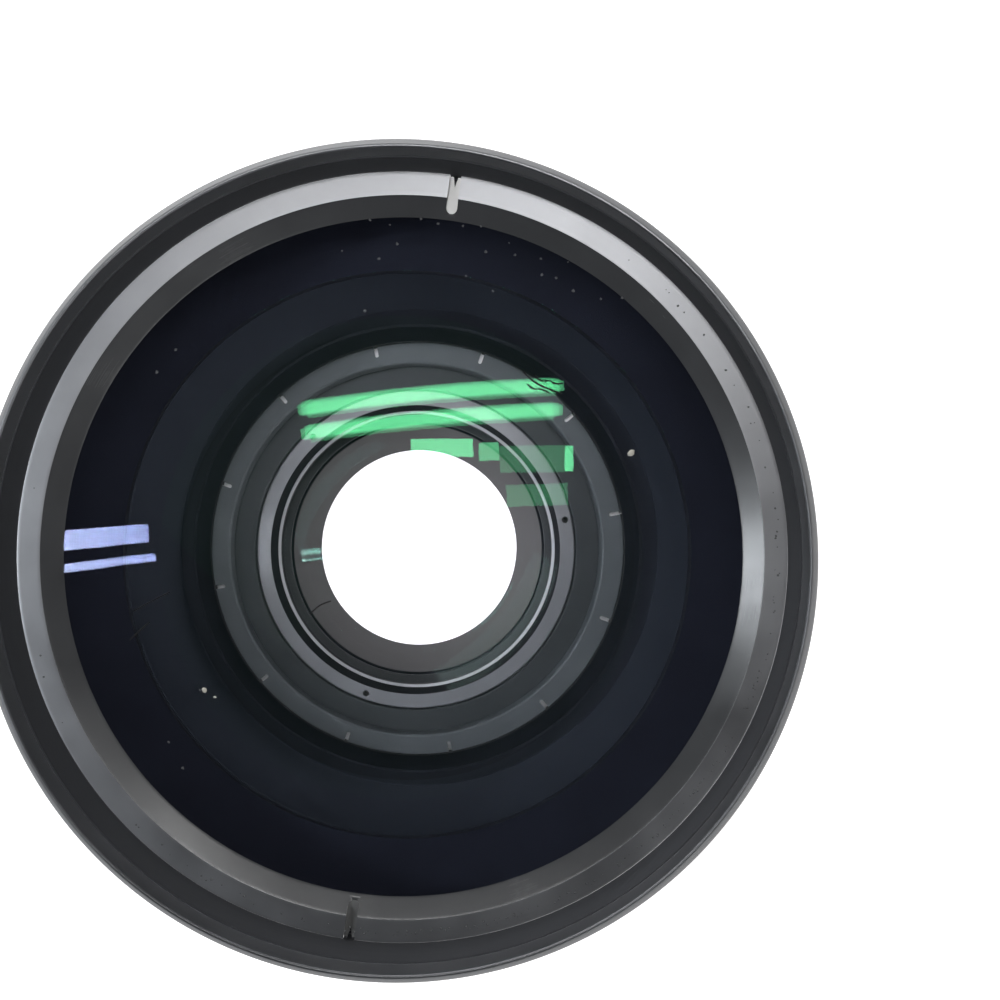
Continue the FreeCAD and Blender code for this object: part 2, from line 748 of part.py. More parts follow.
def exportPieces():
    doc.recompute()
    for item in doc.Objects:
        if "Invalid" in item.State or "Error" in item.State:
            raise RuntimeError(f"{item.Name} did not rebuild: {item.State}")
    bodies = [item for item in doc.Objects if item.TypeId == "PartDesign::Body"]
    for body in bodies:
        if body.Shape.isNull() or not body.Shape.isValid():
            raise RuntimeError(f"{body.Label} has no valid shape")
        if len(body.Shape.Solids) != 1:
            raise RuntimeError(f"{body.Label} is not one solid")
    os.makedirs("parts", exist_ok=True)
    for body in bodies:
        body.Shape.exportStep(f"parts/{body.Label}.step")
        box = body.Shape.BoundBox
        print(f"{body.Label}: volume {body.Shape.Volume:.1f}, Z {box.ZMin:.2f} to {box.ZMax:.2f}")


buildRearMount()
buildRearCell()
buildCementedPair()
buildRearRings()
buildBaffle()
buildMainBarrel()
buildGrip()
buildFrontLens()
buildFrontRing()
buildBezel()
buildMountScrews()
buildGrubScrews()
exportPieces()
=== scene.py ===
import math
import random

import bmesh
import bpy
from mathutils import Matrix, Vector


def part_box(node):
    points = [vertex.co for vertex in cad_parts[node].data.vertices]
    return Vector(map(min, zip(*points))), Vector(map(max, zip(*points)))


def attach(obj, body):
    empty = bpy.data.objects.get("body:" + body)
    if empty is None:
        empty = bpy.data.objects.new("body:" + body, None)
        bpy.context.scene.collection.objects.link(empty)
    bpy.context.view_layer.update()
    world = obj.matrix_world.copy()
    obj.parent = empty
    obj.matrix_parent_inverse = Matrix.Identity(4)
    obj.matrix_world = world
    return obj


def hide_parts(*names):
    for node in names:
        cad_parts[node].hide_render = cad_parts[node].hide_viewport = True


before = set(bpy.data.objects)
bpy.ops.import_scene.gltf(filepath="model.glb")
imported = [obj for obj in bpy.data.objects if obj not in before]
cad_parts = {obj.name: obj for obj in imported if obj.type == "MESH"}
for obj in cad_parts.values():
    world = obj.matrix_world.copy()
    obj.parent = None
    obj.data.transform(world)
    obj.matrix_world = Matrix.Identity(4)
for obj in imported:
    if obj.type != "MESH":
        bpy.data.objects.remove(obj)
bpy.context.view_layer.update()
print("frame loaded")

# lengths below are in millimetres and are brought to metres where a mesh is made;
# places and sizes of lamps, floor and camera are in metres
mm = 0.001
spokes = 360
slack = 0.02  # room between two pieces that touch
overcut = 0.5  # how far a cutter stands out of what it cuts


def nodeSpan(node):
    # outer radius, lowest and highest point of a turned node
    low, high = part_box(node)
    return round(high[1] / mm, 2), round(low[2] / mm, 3), round(high[2] / mm, 3)


bezelRadius, bezelFoot, bezelTop = nodeSpan("front_bezel")
ringRadius, ringBottom, ringTop = nodeSpan("front_retaining_ring")
glassRadius, glassRim, glassTop = nodeSpan("front_element")
barrelRadius, barrelBottom, barrelTop = nodeSpan("main_barrel")
gripRadius, gripBottom, gripTop = nodeSpan("grip_ring")
baffleRadius, baffleBottom, baffleTop = nodeSpan("inner_baffle")
lockRadius, lockBottom, lockTop = nodeSpan("rear_lock_ring")
rearRingRadius, rearRingBottom, rearRingTop = nodeSpan("rear_retaining_ring")
cellRadius, cellBottom, cellTop = nodeSpan("rear_cell")
crownRadius, _, crownTop = nodeSpan("rear_crown")
flintRadius, flintBottom, _ = nodeSpan("rear_flint")
mountRadius, _, mountTop = nodeSpan("rear_mount")


# a side is at least sidePerBreak breaks long; over sidePerWear times the break and the worn reach,
# it keeps a plain middle
edges = dict(plainBreak=0.08, wornReach=0.3, sidePerBreak=2.2, sidePerWear=2.4, steps=3)
fineBreak = 0.03
smallBreak = 0.04
softBreak = 0.05


def brokenCorners(corners):
    # each corner (radius, height) becomes a small curve with a plain point on each side of it;
    # a corner that gives its own third value has that break, and 0 leaves it as it is
    points = []
    for index, corner in enumerate(corners):
        here = Vector(corner[:2])
        size = corner[2] if len(corner) > 2 else edges["plainBreak"]
        if not size:
            points.append((here.x, here.y, 0.0, index))
            continue
        before = Vector(corners[index - 1][:2]) - here
        after = Vector(corners[(index + 1) % len(corners)][:2]) - here
        size = min(size, before.length / edges["sidePerBreak"], after.length / edges["sidePerBreak"])
        start = here + before.normalized() * size
        end = here + after.normalized() * size
        wornSide = edges["sidePerWear"] * (size + edges["wornReach"])
        if before.length > wornSide:
            far = start + before.normalized() * edges["wornReach"]
            points.append((far.x, far.y, 0.0, index - 1))
        for step in range(edges["steps"] + 1):
            part = step / edges["steps"]
            bend = start.lerp(here, part).lerp(here.lerp(end, part), part)
            points.append((bend.x, bend.y, 1.0, index if part > 0.5 else index - 1))
        if after.length > wornSide:
            far = end + after.normalized() * edges["wornReach"]
            points.append((far.x, far.y, 0.0, index))
    return points


def domePoints(rim, vertex, curve, upwards, steps=48):
    # points of a lens surface from its middle to the rim; curve is its radius
    points = []
    for step in range(steps + 1):
        across = rim * step / steps
        sag = curve - math.sqrt(curve ** 2 - across ** 2)
        points.append((across, vertex - sag if upwards else vertex + sag, 0))
    return points


def newObject(name, data):
    thing = bpy.data.objects.new(name, data)
    bpy.context.collection.objects.link(thing)
    return thing


def makePiece(name, points, faces, materials, worn=None, finishes=None):
    mesh = bpy.data.meshes.new(name)
    mesh.from_pydata([Vector(p) * mm for p in points], [], faces)
    if worn:
        marks = mesh.attributes.new("wornEdge", "FLOAT", "POINT")
        marks.data.foreach_set("value", worn)
    if finishes:
        mesh.polygons.foreach_set("material_index", finishes)
    for material in materials:
        mesh.materials.append(material)
    mesh.update()
    return newObject(name, mesh)


def turnedPiece(name, corners, materials, sides=None, shaped=None):
    # sides gives a material number to the side that follows each corner;
    # shaped bends a point (radius, height, angle) to a new radius
    section = brokenCorners(corners)
    points, worn, faces, finishes = [], [], [], []
    for spoke in range(spokes):
        angle = 2 * math.pi * spoke / spokes
        for radius, height, wear, side in section:
            across = shaped(radius, height, angle) if shaped else radius
            points.append((across * math.cos(angle), across * math.sin(angle), height))
            worn.append(wear)
    count = len(section)
    for spoke in range(spokes):
        here, there = spoke * count, (spoke + 1) % spokes * count
        for index in range(count):
            after = (index + 1) % count
            if section[index][0] == 0 and section[after][0] == 0:
                continue
            faces.append((here + index, there + index, there + after, here + after))
            side = section[index][3] % len(corners)
            finishes.append(sides[side] if sides else 0)
    piece = makePiece(name, points, faces, materials, worn, finishes)
    tidyMesh(piece, min(corner[0] for corner in corners) == 0)
    return piece


def tidyMesh(piece, hasPole=False, weld=1e-7, thinnest=1e-8):
    # the many points of a pole become one; weld and thinnest are in metres
    shape = bmesh.new()
    shape.from_mesh(piece.data)
    if hasPole:
        bmesh.ops.remove_doubles(shape, verts=shape.verts, dist=weld)
        bmesh.ops.dissolve_degenerate(shape, edges=shape.edges, dist=thinnest)
    bmesh.ops.recalc_face_normals(shape, faces=shape.faces)
    shape.to_mesh(piece.data)
    shape.free()
    piece.data.shade_smooth()


def carve(piece, cutters):
    # takes the cutters away from the piece, which gets their finish where it is cut
    for cutter in cutters:
        cut = piece.modifiers.new("cut", "BOOLEAN")
        cut.operation = "DIFFERENCE"
        cut.solver = "EXACT"
        cut.material_mode = "TRANSFER"
        cut.object = cutter
    depsgraph = bpy.context.evaluated_depsgraph_get()
    carved = bpy.data.meshes.new_from_object(piece.evaluated_get(depsgraph))
    piece.modifiers.clear()
    piece.data = carved
    for cutter in cutters:
        bpy.data.objects.remove(cutter)


def makeCutter(shape, place, finish):
    mesh = bpy.data.meshes.new("cutter")
    bmesh.ops.recalc_face_normals(shape, faces=shape.faces)
    shape.to_mesh(mesh)
    shape.free()
    mesh.materials.append(finish)
    cutter = newObject("cutter", mesh)
    cutter.matrix_world = place
    return cutter


def prismCutter(outline, floor, top, angle, finish):
    # a straight-sided cutter, turned about the lens axis
    shape = bmesh.new()
    bottom = [shape.verts.new(Vector((x, y, floor)) * mm) for x, y in outline]
    above = [shape.verts.new(Vector((x, y, top)) * mm) for x, y in outline]
    shape.faces.new(bottom)
    shape.faces.new(above)
    for index in range(len(outline)):
        after = (index + 1) % len(outline)
        shape.faces.new((bottom[index], bottom[after], above[after], above[index]))
    return makeCutter(shape, Matrix.Rotation(math.radians(angle), 4, "Z"), finish)


def roundSlot(inner, outer, width, steps=12):
    # the outline of a radial slot with a round inner end
    half = width / 2
    outline = [(outer, -half), (outer, half)]
    for step in range(steps + 1):
        turn = math.pi / 2 + math.pi * step / steps
        outline.append((inner + half + half * math.cos(turn), half * math.sin(turn)))
    return outline


def holeCutter(radius, depth, place, finish, segments=32):
    # a round cutter that reaches the depth on both sides of its place
    shape = bmesh.new()
    bmesh.ops.create_cone(
        shape, cap_ends=True, segments=segments,
        radius1=radius * mm, radius2=radius * mm, depth=2 * depth * mm,
    )
    return makeCutter(shape, place, finish)


def placed(radius, angle, height):
    # a place on a circle about the lens axis, with X pointing outwards
    turn = Matrix.Rotation(math.radians(angle), 4, "Z")
    return turn @ Matrix.Translation(Vector((radius, 0, height)) * mm)


def settle(piece, slotName, *nodes, sharpAngle=50):
    # smooth shading that leaves flat sides flat, and the piece's place in the frame
    piece.data.set_sharp_from_angle(angle=math.radians(sharpAngle))
    even = piece.modifiers.new("evenNormals", "WEIGHTED_NORMAL")
    even.keep_sharp = True
    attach(piece, "root")
    if nodes:
        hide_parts(*nodes)


number = "NodeSocketFloat"
vector = "NodeSocketVector"


def newEffect(name, inputs, outputs):
    # a node group; inputs are named numbers with their usual values
    effect = bpy.data.node_groups.new(name, "ShaderNodeTree")
    for label, value in inputs.items():
        socket = effect.interface.new_socket(label, in_out="INPUT", socket_type=number)
        socket.default_value = value
    for label, kind in outputs.items():
        effect.interface.new_socket(label, in_out="OUTPUT", socket_type=kind)
    given = effect.nodes.new("NodeGroupInput").outputs
    result = effect.nodes.new("NodeGroupOutput").inputs
    return effect, given, result


def feed(tree, value, socket):
    # gives a socket another node's output, or else a plain value
    if isinstance(value, bpy.types.NodeSocket):
        tree.links.new(value, socket)
    else:
        socket.default_value = value


def addNode(tree, kind, inputs=None, **settings):
    # inputs go by the names or numbers of the node's sockets
    node = tree.nodes.new(kind)
    for name, value in settings.items():
        setattr(node, name, value)
    for socket, value in (inputs or {}).items():
        feed(tree, value, node.inputs[socket])
    return node


def addEffect(tree, effect, inputs=None):
    return addNode(tree, "ShaderNodeGroup", inputs, node_tree=effect)


def maths(tree, operation, first, second=0.0, clamp=False):
    node = addNode(tree, "ShaderNodeMath", {0: first, 1: second}, operation=operation, use_clamp=clamp)
    return node.outputs[0]


def remapped(tree, value, span, newSpan=(0.0, 1.0)):
    inputs = {"Value": value, "From Min": span[0], "From Max": span[1]}
    inputs.update({"To Min": newSpan[0], "To Max": newSpan[1]})
    return addNode(tree, "ShaderNodeMapRange", inputs).outputs[0]


def mixedColour(tree, factor, first, second):
    # inputs 6 and 7 are the node's two colours, and output 2 is their mix
    node = addNode(tree, "ShaderNodeMix", {0: factor}, data_type="RGBA")
    feed(tree, first, node.inputs[6])
    feed(tree, second, node.inputs[7])
    return node.outputs[2]


def makeLathePlace():
    # where a point lies on a turned piece: its radius and height in millimetres, and its direction
    outputs = {"Radius": number, "Height": number, "Across": number, "Along": number, "Point": vector}
    effect, _, result = newEffect("lathePlace", {}, outputs)
    place = addNode(effect, "ShaderNodeTexCoord").outputs["Object"]
    scaled = addNode(effect, "ShaderNodeVectorMath", {0: place, "Scale": 1 / mm}, operation="SCALE")
    point = scaled.outputs[0]
    x, y, height = addNode(effect, "ShaderNodeSeparateXYZ", {0: point}).outputs
    flat = addNode(effect, "ShaderNodeCombineXYZ", {0: x, 1: y}).outputs[0]
    radius = addNode(effect, "ShaderNodeVectorMath", {0: flat}, operation="LENGTH").outputs["Value"]
    effect.links.new(radius, result["Radius"])
    effect.links.new(height, result["Height"])
    effect.links.new(maths(effect, "DIVIDE", x, radius), result["Across"])
    effect.links.new(maths(effect, "DIVIDE", y, radius), result["Along"])
    effect.links.new(point, result["Point"])
    return effect


def makeTurningMarks(lathePlace):
    # fine tool lines that run round the lens axis and fade in and out along the turn
    effect, given, result = newEffect("turningMarks", {"Spacing": 0.1, "Broken": 2.0}, {"Lines": number})
    place = addEffect(effect, lathePlace).outputs
    x = maths(effect, "DIVIDE", place["Radius"], given["Spacing"])
    y = maths(effect, "DIVIDE", place["Height"], given["Spacing"])
    z = maths(effect, "MULTIPLY", place["Across"], given["Broken"])
    w = maths(effect, "MULTIPLY", place["Along"], given["Broken"])
    point = addNode(effect, "ShaderNodeCombineXYZ", {0: x, 1: y, 2: z}).outputs[0]
    inputs = {"Vector": point, "W": w, "Scale": 1.0, "Detail": 2.0, "Roughness": 0.6}
    noise = addNode(effect, "ShaderNodeTexNoise", inputs, noise_dimensions="4D")
    effect.links.new(noise.outputs[0], result["Lines"])
    return effect


def makeGrain(lathePlace):
    # the fine texture of a blasted or moulded surface, with larger soft variation
    effect, given, result = newEffect("fineGrain", {"Size": 0.1}, {"Grain": number, "Cloud": number})
    point = addEffect(effect, lathePlace).outputs["Point"]
    scale = maths(effect, "DIVIDE", 1.0, given["Size"])
    grain = addNode(effect, "ShaderNodeTexNoise", {"Vector": point, "Scale": scale, "Detail": 2.0})
    cloud = addNode(effect, "ShaderNodeTexNoise", {"Vector": point, "Scale": 0.12, "Detail": 4.0})
    effect.links.new(grain.outputs[0], result["Grain"])
    effect.links.new(cloud.outputs[0], result["Cloud"])
    return effect


def makeEdgeWear(lathePlace, bareFrom=0.9, bareTo=1.15):
    # bare metal where handling has rubbed the broken edges
    effect, given, result = newEffect("edgeWear", {"Amount": 0.5, "Patch": 1.5}, {"Wear": number})
    point = addEffect(effect, lathePlace).outputs["Point"]
    edge = addNode(effect, "ShaderNodeAttribute", attribute_name="wornEdge").outputs["Fac"]
    scale = maths(effect, "DIVIDE", 1.0, given["Patch"])
    inputs = {"Vector": point, "Scale": scale, "Detail": 5.0, "Roughness": 0.7}
    patch = addNode(effect, "ShaderNodeTexNoise", inputs).outputs[0]
    rubbed = remapped(effect, maths(effect, "ADD", patch, given["Amount"]), (bareFrom, bareTo))
    effect.links.new(maths(effect, "MULTIPLY", rubbed, edge), result["Wear"])
    return effect


def makeDust(lathePlace, largest=0.2):
    # small pale specks that have settled on the surface; the largest is this part of its cell
    effect, given, result = newEffect("settledDust", {"Cell": 1.2, "Amount": 0.2}, {"Dust": number})
    point = addEffect(effect, lathePlace).outputs["Point"]
    scale = maths(effect, "DIVIDE", 1.0, given["Cell"])
    cells = addNode(effect, "ShaderNodeTexVoronoi", {"Vector": point, "Scale": scale}).outputs
    chance = addNode(effect, "ShaderNodeSeparateColor", {0: cells["Color"]}).outputs[0]
    size = maths(effect, "MULTIPLY", given["Amount"], chance)
    speck = maths(effect, "LESS_THAN", cells["Distance"], maths(effect, "MULTIPLY", size, largest))
    keep = maths(effect, "GREATER_THAN", given["Amount"], chance)
    effect.links.new(maths(effect, "MULTIPLY", speck, keep), result["Dust"])
    return effect


lathePlace = makeLathePlace()
turningMarks = makeTurningMarks(lathePlace)
fineGrain = makeGrain(lathePlace)
edgeWear = makeEdgeWear(lathePlace)
settledDust = makeDust(lathePlace)
print("effects made")


def newMaterial(name):
    material = bpy.data.materials.new(name)
    material.use_nodes = True
    tree = material.node_tree
    return material, tree, tree.nodes["Principled BSDF"]


def colour(red, green, blue):
    return (red, green, blue, 1.0)


def addBump(tree, shader, height, look):
    inputs = {"Height": height, "Strength": look["bumpStrength"], "Distance": look["bumpDistance"] * mm}
    bump = addNode(tree, "ShaderNodeBump", inputs)
    tree.links.new(bump.outputs[0], shader.inputs["Normal"])


# what all turned metals share: how grain, tool lines, worn edges and dust show
metalLook = dict(grainSize=0.12, grainDepth=0.1, paler=1.5, cloudSpan=(0.2, 0.8), cloudRoughness=0.05,
                 lineRoughness=0.08, dustRoughness=0.5, dustTone=(0.45, 0.44, 0.42), wornMetallic=0.8,
                 bumpStrength=0.3, bumpDistance=0.02)


def machined(name, base, worn, metallic=0.0, roughness=0.35, lineSpacing=0.12, lineDepth=0.15,
             wear=0.2, dust=0.1, specular=0.5, look=metalLook):
    # a turned and blackened metal surface
    material, tree, shader = newMaterial(name)
    marks = addEffect(tree, turningMarks, {"Spacing": lineSpacing}).outputs[0]
    grain = addEffect(tree, fineGrain, {"Size": look["grainSize"]}).outputs
    rubbed = addEffect(tree, edgeWear, {"Amount": wear}).outputs[0]
    specks = addEffect(tree, settledDust, {"Amount": dust}).outputs[0]
    pale = colour(*(min(1.0, part * look["paler"]) for part in base[:3]))
    tone = mixedColour(tree, grain["Cloud"], base, pale)
    tone = mixedColour(tree, rubbed, tone, worn)
    tone = mixedColour(tree, specks, tone, colour(*look["dustTone"]))
    tree.links.new(tone, shader.inputs["Base Color"])
    spread = (roughness - look["cloudRoughness"], roughness + look["cloudRoughness"])
    matt = remapped(tree, grain["Cloud"], look["cloudSpan"], spread)
    matt = maths(tree, "ADD", matt, maths(tree, "MULTIPLY", marks, look["lineRoughness"]))
    matt = maths(tree, "ADD", matt, maths(tree, "MULTIPLY", specks, look["dustRoughness"]), clamp=True)
    tree.links.new(matt, shader.inputs["Roughness"])
    bare = maths(tree, "ADD", maths(tree, "MULTIPLY", rubbed, look["wornMetallic"]), metallic, clamp=True)
    tree.links.new(bare, shader.inputs["Metallic"])
    shader.inputs["Specular IOR Level"].default_value = specular
    lines = maths(tree, "MULTIPLY", marks, lineDepth)
    height = maths(tree, "ADD", lines, maths(tree, "MULTIPLY", grain["Grain"], look["grainDepth"]))
    addBump(tree, shader, height, look)
    return material


# what rubber, plastic and matt paint share
mouldedLook = dict(grainSize=0.15, grainDepth=0.5, grainSpan=(0.2, 0.8), smoother=0.06, rougher=0.08,
                   dust=0.2, dustTone=(0.5, 0.48, 0.45), bumpStrength=0.5, bumpDistance=0.05)


def moulded(name, base, pale, roughness=0.6, specular=0.5, look=mouldedLook):
    material, tree, shader = newMaterial(name)
    grain = addEffect(tree, fineGrain, {"Size": look["grainSize"]}).outputs
    specks = addEffect(tree, settledDust, {"Amount": look["dust"]}).outputs[0]
    tone = mixedColour(tree, grain["Cloud"], base, pale)
    tone = mixedColour(tree, specks, tone, colour(*look["dustTone"]))
    tree.links.new(tone, shader.inputs["Base Color"])
    spread = (roughness - look["smoother"], roughness + look["rougher"])
    matt = remapped(tree, grain["Grain"], look["grainSpan"], spread)
    tree.links.new(matt, shader.inputs["Roughness"])
    addBump(tree, shader, maths(tree, "MULTIPLY", grain["Grain"], look["grainDepth"]), look)
    shader.inputs["Specular IOR Level"].default_value = specular
    return material


def coatedGlass(name, index, tint, tone=colour(1, 1, 1)):
    # polished glass whose coating gives its reflections a colour
    material, _, shader = newMaterial(name)
    shader.inputs["Roughness"].default_value = 0.0
    shader.inputs["Base Color"].default_value = tone
    shader.inputs["IOR"].default_value = index
    shader.inputs["Transmission Weight"].default_value = 1.0
    shader.inputs["Specular Tint"].default_value = tint
    return material


bezelTurning = dict(lineSpacing=0.09, lineDepth=0.3, dust=0.06)
ringTurning = dict(lineSpacing=0.07, lineDepth=0.2)
cellTurning = dict(lineSpacing=0.1, dust=0.05)
blackAnodised = machined("black_anodised", colour(0.017, 0.0175, 0.019), colour(0.2, 0.2, 0.205),
                         roughness=0.34, wear=0.12, specular=0.4, **bezelTurning)
landSatin = machined("land_satin", colour(0.2, 0.204, 0.212), colour(0.22, 0.22, 0.23), metallic=1.0,
                     roughness=0.34, wear=0, **bezelTurning)
seatSatin = machined("seat_satin", colour(0.1, 0.102, 0.108), colour(0.1, 0.1, 0.1), metallic=1.0,
                     roughness=0.42, wear=0, **bezelTurning)
chamferSatin = machined("chamfer_satin", colour(0.15, 0.152, 0.157), colour(0.2, 0.2, 0.205),
                        roughness=0.4, wear=0, specular=0.28, **bezelTurning)
recessBlack = machined("recess_black", colour(0.02, 0.021, 0.024), colour(0.12, 0.12, 0.125), roughness=0.6,
                       lineSpacing=0.2, lineDepth=0.4, wear=0.1, dust=0.12, specular=0.25)
satinRing = machined("satin_ring", colour(0.25, 0.253, 0.264), colour(0.6, 0.6, 0.61), metallic=1.0,
                     roughness=0.36, wear=0.1, dust=0, **ringTurning)
bevelBlack = machined("bevel_black", colour(0.037, 0.038, 0.04), colour(0.2, 0.2, 0.2), roughness=0.2,
                      wear=0.1, dust=0.03, specular=0.55, **ringTurning)
slotSatin = machined("slot_satin", colour(0.27, 0.27, 0.268), colour(0.6, 0.6, 0.6), metallic=1.0,
                     roughness=0.4, dust=0.02)
bareMetal = machined("bare_metal", colour(0.7, 0.7, 0.69), colour(0.8, 0.8, 0.8), metallic=1.0,
                     roughness=0.4, dust=0.02)
rearSatin = machined("rear_satin", colour(0.13, 0.134, 0.142), colour(0.4, 0.4, 0.41), roughness=0.33,
                     dust=0.03, specular=0.8, **ringTurning)
# a lighter satin on the rear ring's lip and its chamfer: edge wear, and also a painted highlight line around
# the lip
lipSatinAndHighlight = machined("lip_satin_and_highlight", colour(0.36, 0.367, 0.38), colour(0.4, 0.4, 0.41), roughness=0.4,
                    wear=0.3, dust=0.02)
lockBlack = machined("lock_ring_black", colour(0.07, 0.078, 0.082), colour(0.2, 0.2, 0.21), roughness=0.42,
                     wear=0.15, specular=0.15, **cellTurning)
cellBlack = machined("cell_black", colour(0.03, 0.034, 0.036), colour(0.12, 0.12, 0.125), roughness=0.42,
                     wear=0.1, specular=0.2, **cellTurning)
boreBlack = machined("bore_black", colour(0.028, 0.0285, 0.029), colour(0.1, 0.1, 0.1), roughness=0.33,
                     wear=0.1, **cellTurning)
screwSteel = machined("screw_steel", colour(0.05, 0.05, 0.052), colour(0.35, 0.35, 0.36), metallic=0.9,
                      roughness=0.3, wear=0.3, dust=0.02)
# matt black paint for the baffle, also laid as painted shade in the front ring's slot notches, the rear
# ring's bore and the mount's face under the cell
blackPaintAndShade = moulded("baffle_paint", colour(0.006, 0.0068, 0.0095), colour(0.01, 0.0112, 0.016),
                      roughness=0.75, specular=0.15)
gripRubber = moulded("grip_rubber", colour(0.012, 0.012, 0.012), colour(0.022, 0.022, 0.023), roughness=0.62)
sealRubber = moulded("seal_rubber", colour(0.01, 0.01, 0.01), colour(0.02, 0.02, 0.02), roughness=0.55)
shimPlastic = moulded("shim_plastic", colour(0.02, 0.02, 0.021), colour(0.035, 0.035, 0.036), roughness=0.45)
groundEdge = moulded("ground_edge_black", colour(0.012, 0.013, 0.019), colour(0.018, 0.02, 0.03),
                     roughness=0.7, specular=0.0)
edgeLacquer = moulded("edge_lacquer_navy", colour(0.024, 0.029, 0.041), colour(0.034, 0.041, 0.056),
                      specular=0.1)
dustGrey = moulded("dust_grey", colour(0.08, 0.082, 0.085), colour(0.15, 0.152, 0.155), roughness=0.9,
                   specular=0.2)
dustPale = moulded("dust_pale", colour(0.4, 0.38, 0.33), colour(0.6, 0.57, 0.5), roughness=0.9, specular=0.2)
# the lint threads are near black: real threads, whose darkness is also painted shade for the shadow and the
# lamp reflection they hide on the glass
lintAndShade = moulded("lint_dark_and_shade", colour(0.01, 0.01, 0.012), colour(0.03, 0.03, 0.03), roughness=0.9,
                   specular=0.1)

glassIndex = dict(front=1.6, crown=1.517, flint=1.62)
frontTone = colour(0.95, 0.985, 1.0)
cementTint = colour(0.02, 0.06, 0.05)
frontCoat = coatedGlass("front_coating", glassIndex["front"], colour(0.164, 0.9, 0.384), frontTone)
frontRimCoat = coatedGlass("front_coating_rim", glassIndex["front"], colour(0.081, 0.098, 0.195), frontTone)
hollowCoat = coatedGlass("hollow_coating", glassIndex["front"], colour(0.03, 0.1, 0.07), frontTone)
crownCoat = coatedGlass("crown_coating", glassIndex["crown"], colour(0.06, 0.33, 0.24))
crownCement = coatedGlass("cement_face", glassIndex["crown"], cementTint)
flintCoat = coatedGlass("flint_coating", glassIndex["flint"], colour(0.04, 0.25, 0.2))
flintCement = coatedGlass("flint_cement_face", glassIndex["flint"], cementTint)
print("finishes made")


frontBezel = dict(spigotBore=47.55, wall=48.5, seat=48.7, seatDepth=3.5, lip=0.15, land=49.1,
                  chamfer=0.9, round=0.45, foot=0.4, grubs=3, grubHole=1.05, grubDepth=2.0, grubRise=2.5)


def buildBezel(size):
    corners = [
        (size["spigotBore"], bezelFoot),
        (bezelRadius - size["foot"], bezelFoot),
        (bezelRadius, bezelFoot + size["foot"]),
        (bezelRadius, bezelTop - size["chamfer"], size["round"]),
        (size["land"], bezelTop, size["round"]),
        (size["seat"] + size["lip"], bezelTop, smallBreak),
        (size["seat"], bezelTop - size["lip"], smallBreak),
        (size["seat"], bezelTop - size["seatDepth"], fineBreak),
        (size["wall"], bezelTop - size["seatDepth"], fineBreak),
        (size["wall"], barrelTop - slack),
        (size["spigotBore"], barrelTop - slack),
    ]
    sides = [0, 0, 0, 4, 1, 3, 3, 2, 2, 0, 0]
    finishes = [blackAnodised, landSatin, recessBlack, seatSatin, chamferSatin]
    piece = turnedPiece("front_bezel_turned", corners, finishes, sides)
    lying = Matrix.Rotation(math.pi / 2, 4, "Y")
    cutters = []
    for grub in range(size["grubs"]):
        place = placed(bezelRadius, 360 / size["grubs"] * grub, bezelFoot + size["grubRise"]) @ lying
        cutters.append(holeCutter(size["grubHole"], size["grubDepth"], place, blackAnodised))
    carve(piece, cutters)
    # its wall keeps neither the lamps nor the room from the ring beside it, which the photograph shows
    # evenly lit
    piece.visible_shadow = False
    piece.visible_glossy = False
    settle(piece, "black_anodised", "front_bezel")


frontRing = dict(inside=45.6, flat=45.5, bore=43.0, bevel=1.45, slotInner=43.75, slotWidth=1.4,
                 slotDepth=1.0, slotAngle=82.0, shadeNotchWidth=0.8, shadeNotchLength=1.25, shadeNotchDepth=2.2)


def buildFrontRing(size):
    touch = ringTop - size["bevel"]
    corners = [
        (size["bore"], touch, smallBreak),
        (size["inside"], touch, smallBreak),
        (size["inside"], ringBottom, smallBreak),
        (ringRadius, ringBottom),
        (ringRadius, ringTop),
        (size["flat"], ringTop, softBreak),
    ]
    sides = [0, 0, 0, 0, 0, 1]
    piece = turnedPiece("front_retaining_ring_turned", corners, [satinRing, bevelBlack], sides)
    outer = ringRadius + overcut
    top = ringTop + overcut
    slot = roundSlot(size["slotInner"], outer, size["slotWidth"])
    # at each slot's outer end a deeper wedge is cut and finished in matt black paint: painted shade from the
    # bezel wall falling on the slot
    half = size["shadeNotchWidth"] / 2
    shadeNotch = [(outer, -half), (outer, half), (ringRadius - size["shadeNotchLength"], 0)]
    cutters = []
    for angle in (size["slotAngle"], size["slotAngle"] + 180):
        cutters.append(prismCutter(slot, ringTop - size["slotDepth"], top, angle, slotSatin))
        cutters.append(prismCutter(shadeNotch, ringTop - size["shadeNotchDepth"], top, angle, blackPaintAndShade))
    carve(piece, cutters)
    settle(piece, "satin_ring", "front_retaining_ring")


frontGlass = dict(clear=36.5, frontCurve=170.0, hollowCurve=52.0, middle=3.5, rings=64, rimCoatFrom=29.5,
                  rimBreak=0.15)


def buildFrontGlass(size):
    # the coating changes its colour towards the rim
    rings = size["rings"]
    front = domePoints(glassRadius, glassTop, size["frontCurve"], True, rings)
    hollow = domePoints(size["clear"], glassTop - size["middle"], size["hollowCurve"], True, rings)
    corners = front + [(glassRadius, glassRim, size["rimBreak"])] + hollow[::-1]
    sides = [3 if corner[0] > size["rimCoatFrom"] else 0 for corner in front[:-1]]
    sides += [4, 2] + [1] * len(hollow)
    finishes = [frontCoat, hollowCoat, groundEdge, frontRimCoat, edgeLacquer]
    piece = turnedPiece("front_element_glass", corners, finishes, sides)
    piece.visible_shadow = False
    settle(piece, "lens_glass", "front_element")


buildBezel(frontBezel)
buildFrontRing(frontRing)
buildFrontGlass(frontGlass)
print("front group made")


# the photograph's viewpoint: straight down at the front, a little right of and above the axis
camera = dict(place=(0.01227, 0.0072, 0.193), lens=42.588, sensor=36.0, pixels=1000, near=0.001, far=20)


